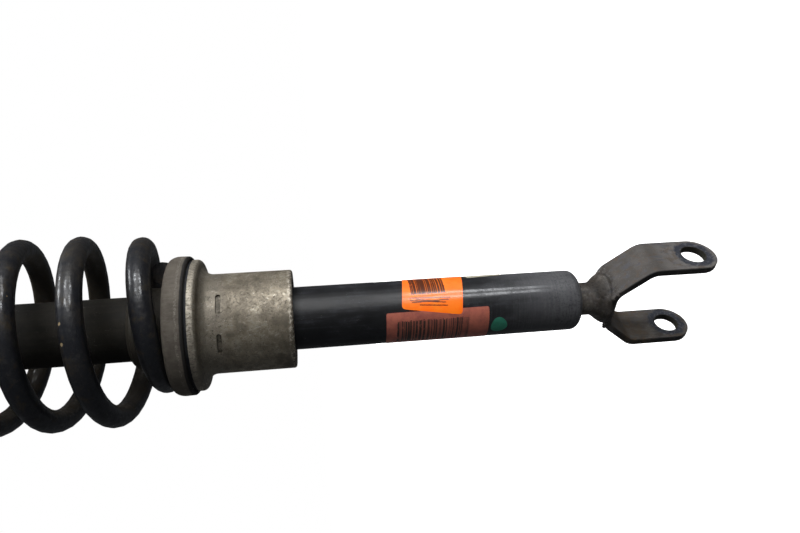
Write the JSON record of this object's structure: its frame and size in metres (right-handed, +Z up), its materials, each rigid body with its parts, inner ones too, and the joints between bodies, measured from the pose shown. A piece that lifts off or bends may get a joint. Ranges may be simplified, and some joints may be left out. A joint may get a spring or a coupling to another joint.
{
  "type": "rear shock",
  "caption": "Car rear coil-over shock absorber: single-tube damper with a bolted fork foot, cast perch sleeve, coil spring and a studded top mount.",
  "frame": {"origin": "on the axis of the fork's bolt, midway between the two ears", "axes": "+Z up the damper towards the top mount, +X along the fork's bolt"},
  "size_m": [0.15, 0.1506, 0.6779],
  "materials": {
    "weathered_steel": "satin",
    "black_paint": "gloss",
    "spring_steel": "satin",
    "cast_aluminium": "rough",
    "black_rubber": "matte",
    "grey_seat": "matte",
    "spring_coating": "gloss",
    "machined_aluminium": "satin",
    "bearing_lining": "matte",
    "zinc_steel": "satin",
    "hard_chrome": "polished",
    "urethane_foam": "matte",
    "black_plastic": "satin",
    "mount_paint": "satin"
  },
  "bodies": {
    "damper": {"fork_bracket": "weathered_steel", "fork_stem": "weathered_steel", "damper_tube": "black_paint", "perch_snap_ring": "spring_steel", "perch_sleeve": "cast_aluminium", "perch_isolator": "black_rubber", "spring_seat_cup": "grey_seat", "lower_spring_pad": "black_rubber", "coil_spring": "spring_coating", "rod_guide": "machined_aluminium", "guide_bush": "bearing_lining", "rod_seal": "black_rubber", "guide_snap_ring": "spring_steel", "striker_cap": "zinc_steel"},
    "rod": {"piston_rod": "hard_chrome", "rebound_bumper": "black_rubber", "rebound_stop_plate": "zinc_steel", "compression_shims": "spring_steel", "piston": "machined_aluminium", "piston_band": "bearing_lining", "rebound_shims": "spring_steel", "piston_nut": "zinc_steel", "bump_stop": "urethane_foam", "dust_tube": "black_plastic", "lower_washer": "zinc_steel", "lower_mount_bushing": "black_rubber", "mount_collar": "zinc_steel", "mount_base": "mount_paint", "mount_studs": "zinc_steel", "upper_mount_bushing": "black_rubber", "upper_spring_pad": "black_rubber", "upper_washer": "zinc_steel", "rod_nut": "zinc_steel"},
    "gas_piston": {"floating_piston": "machined_aluminium", "floating_piston_seal": "black_rubber"}
  },
  "joints": [
    {"name": "rod_travel", "type": "slide", "parent": "damper", "child": "rod", "axis": [0, 0, -1], "range_m": [0, 0.12], "stiffness_N_per_m": 41000, "springref_m": -0.04, "deforming": ["coil_spring", "bump_stop"]},
    {"name": "gas_piston_slide", "type": "slide", "parent": "damper", "child": "gas_piston", "axis": [0, 0, -1], "range_m": [0, 0.019]}
  ],
  "couplings": [
    {"joint": "gas_piston_slide", "follows": "rod_travel", "ratio": 0.15123}
  ]
}
